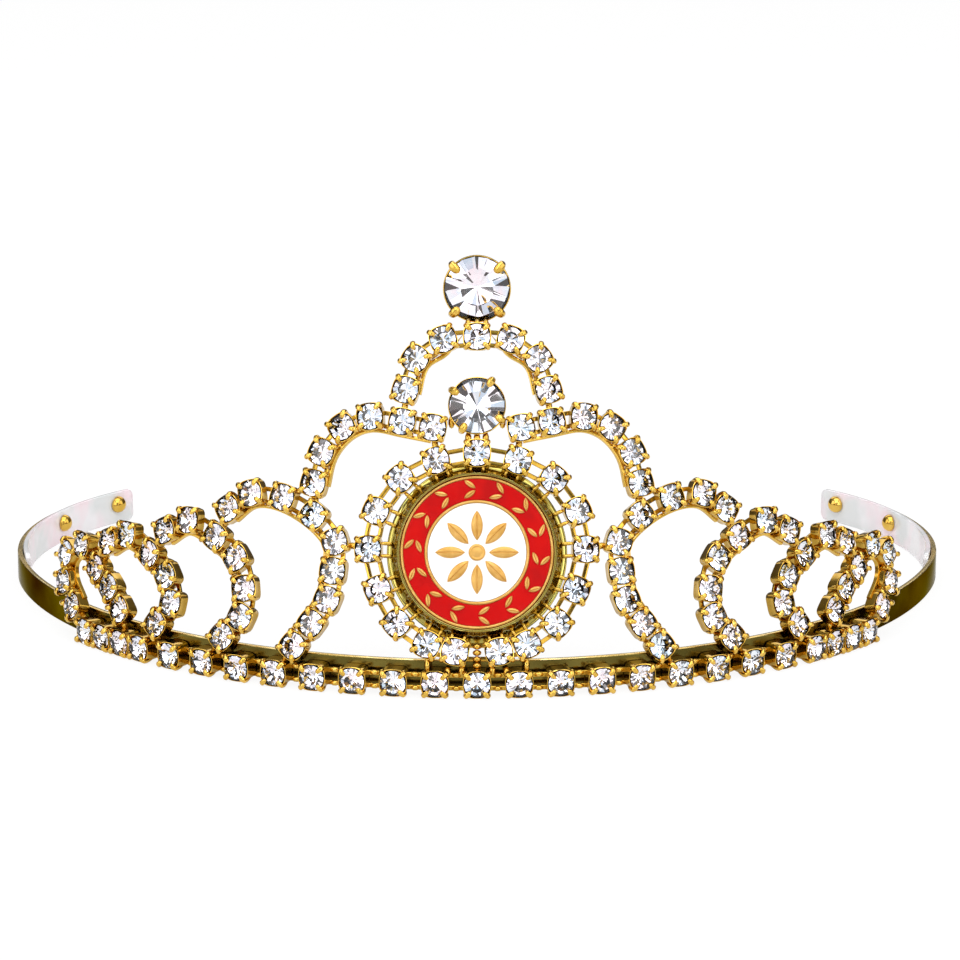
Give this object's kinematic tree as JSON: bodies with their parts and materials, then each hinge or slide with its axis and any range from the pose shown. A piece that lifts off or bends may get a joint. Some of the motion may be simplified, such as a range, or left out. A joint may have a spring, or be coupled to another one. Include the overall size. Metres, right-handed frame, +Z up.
{
  "type": "tiara",
  "caption": "Gold-plated rhinestone tiara: open strip band, a row of cup-set stones, pointed arches, and a stone wreath round an enamelled medallion under a claw-set crest stone.",
  "frame": {"origin": "on the axis of the band's front arc, in the plane that the tiara rests on", "axes": "X to the right seen from the front, Y away from the viewer towards the open back, Z up"},
  "size_m": [0.1466, 0.1036, 0.061],
  "materials": {
    "gold_band": "bright gold plate, slightly darkened outside",
    "gold_settings": "polished gold plate",
    "gold_rivet": "polished gold plate",
    "olive_gold": "semi-bright olive gold plate",
    "gold_medallion": "polished struck gold",
    "red_enamel": "glossy translucent red enamel",
    "white_enamel": "glossy white enamel",
    "rhinestone": "faceted crystal with a mirrored back",
    "pad": "milky clear plastic"
  },
  "bodies": {
    "root": {"headband": "gold_band", "end_pad_left": "pad", "end_pad_right": "pad", "rivet_left_rear": "gold_rivet", "rivet_left_front": "gold_rivet", "rivet_right_rear": "gold_rivet", "rivet_right_front": "gold_rivet", "base_row_settings": "gold_settings", "base_row_stones": "rhinestone", "arch_1_left_settings": "gold_settings", "arch_1_left_stones": "rhinestone", "arch_1_right_settings": "gold_settings", "arch_1_right_stones": "rhinestone", "arch_2_left_settings": "gold_settings", "arch_2_left_stones": "rhinestone", "arch_2_right_settings": "gold_settings", "arch_2_right_stones": "rhinestone", "arch_3_left_settings": "gold_settings", "arch_3_left_stones": "rhinestone", "arch_3_right_settings": "gold_settings", "arch_3_right_stones": "rhinestone", "arch_4_left_settings": "gold_settings", "arch_4_left_stones": "rhinestone", "arch_4_right_settings": "gold_settings", "arch_4_right_stones": "rhinestone", "arch_5_left_settings": "gold_settings", "arch_5_left_stones": "rhinestone", "arch_5_right_settings": "gold_settings", "arch_5_right_stones": "rhinestone", "top_arch_settings": "gold_settings", "top_arch_stones": "rhinestone", "wreath_settings": "gold_settings", "wreath_stones": "rhinestone", "medallion_bezel": "olive_gold", "medallion_disc": "gold_medallion", "red_enamel": "red_enamel", "white_enamel": "white_enamel", "medallion_ornament": "gold_medallion", "inner_setting": "gold_settings", "inner_stone": "rhinestone", "crest_setting": "gold_settings", "crest_stone": "rhinestone"}
  },
  "joints": []
}
